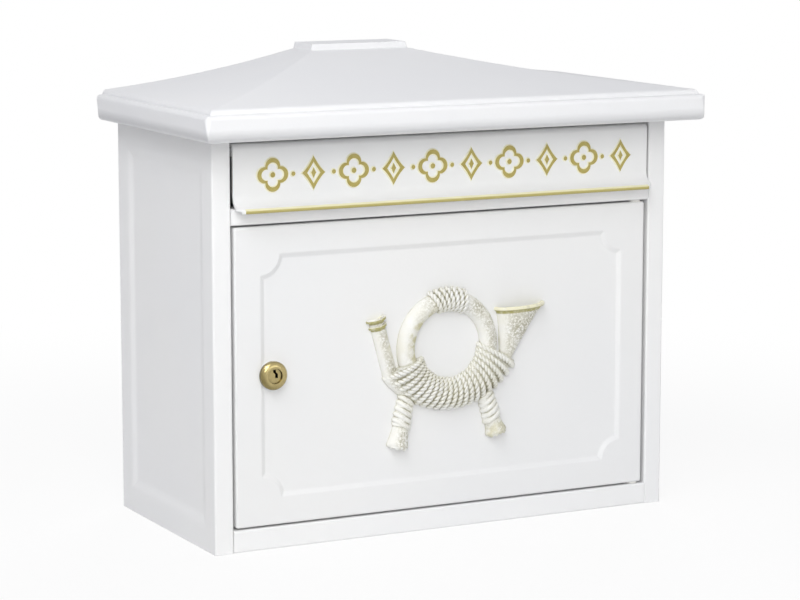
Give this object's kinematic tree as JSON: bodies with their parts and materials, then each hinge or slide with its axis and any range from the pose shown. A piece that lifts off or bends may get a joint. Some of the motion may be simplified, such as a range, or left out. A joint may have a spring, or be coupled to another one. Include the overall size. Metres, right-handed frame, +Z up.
{
  "type": "letter box",
  "caption": "Wall letter box of folded white sheet with a hipped roof, a lifting letter flap with a rolled lip, and a hinged door with a cam lock and a cast post horn.",
  "frame": {"origin": "bottom centre of the bounding box, under the middle of the roof's outline on the surface the box stands on", "axes": "+X to the right seen from the front, +Y to the wall behind the box, +Z up"},
  "size_m": [0.394, 0.2, 0.34],
  "materials": {
    "white_powder_coat": "satin white powder coat on folded steel sheet",
    "roof_white": "satin white powder coat",
    "flap_white": "satin white with a gold painted hem",
    "horn_ivory": "antique white casting with rubbed gold",
    "lock_brass": "polished brass",
    "zinc_steel": "zinc plated",
    "nylon": "natural nylon"
  },
  "bodies": {
    "cabinet": {"left_side_panel": "white_powder_coat", "right_side_panel": "white_powder_coat", "back_panel": "white_powder_coat", "floor_tray": "white_powder_coat", "cross_rail": "white_powder_coat", "top_rail": "white_powder_coat", "roof": "roof_white", "roof_screws": "zinc_steel"},
    "flap": {"letter_flap": "flap_white", "flap_hinge_rod": "zinc_steel", "flap_rod_caps": "nylon"},
    "door": {"door_panel": "white_powder_coat", "door_pivot_pins": "zinc_steel", "door_pivot_washers": "nylon", "post_horn": "horn_ivory", "horn_push_nuts": "zinc_steel", "lock_barrel": "lock_brass", "lock_nut": "zinc_steel"},
    "lock": {"lock_plug": "lock_brass", "lock_cam": "zinc_steel", "cam_screw": "zinc_steel"}
  },
  "joints": [
    {"name": "flap_hinge", "type": "hinge", "parent": "cabinet", "child": "flap", "pos_m": [0, -0.06538, 0.28008], "axis": [-1, 0, 0], "range_deg": [0, 75]},
    {"name": "door_hinge", "type": "hinge", "parent": "cabinet", "child": "door", "pos_m": [0.1579, -0.0645, 0.122], "axis": [0, 0, 1], "range_deg": [0, 105]},
    {"name": "lock_turn", "type": "hinge", "parent": "door", "child": "lock", "pos_m": [-0.1369, -0.07, 0.12302], "axis": [0, 1, 0], "range_deg": [0, 90]}
  ]
}
